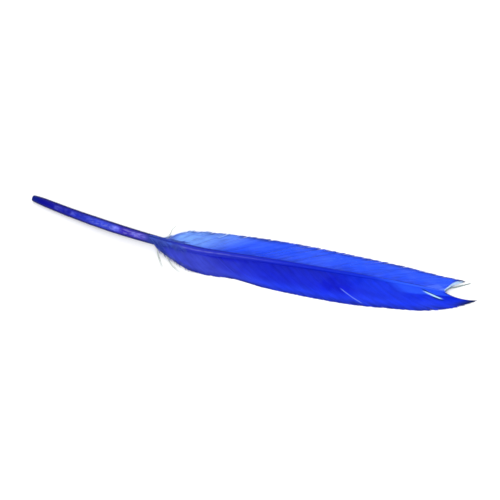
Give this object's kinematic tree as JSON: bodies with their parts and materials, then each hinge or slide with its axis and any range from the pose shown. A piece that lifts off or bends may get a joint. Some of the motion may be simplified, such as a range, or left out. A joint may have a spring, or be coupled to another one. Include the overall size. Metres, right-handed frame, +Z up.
{
  "type": "goose quill feather",
  "caption": "Dyed blue goose quill feather with a bare round quill, a tapering shaft, a vane on each side and a split tip, lying arched back up.",
  "frame": {"origin": "under the middle of the feather's box, on the surface that it lies on", "axes": "+X from the quill to the tip, +Y towards the side to which the quill bends, +Z up through the arched back"},
  "size_m": [0.1402, 0.0218, 0.0047],
  "materials": {
    "dyed_feather": "satin"
  },
  "bodies": {
    "root": {"feather": "dyed_feather"}
  },
  "joints": []
}
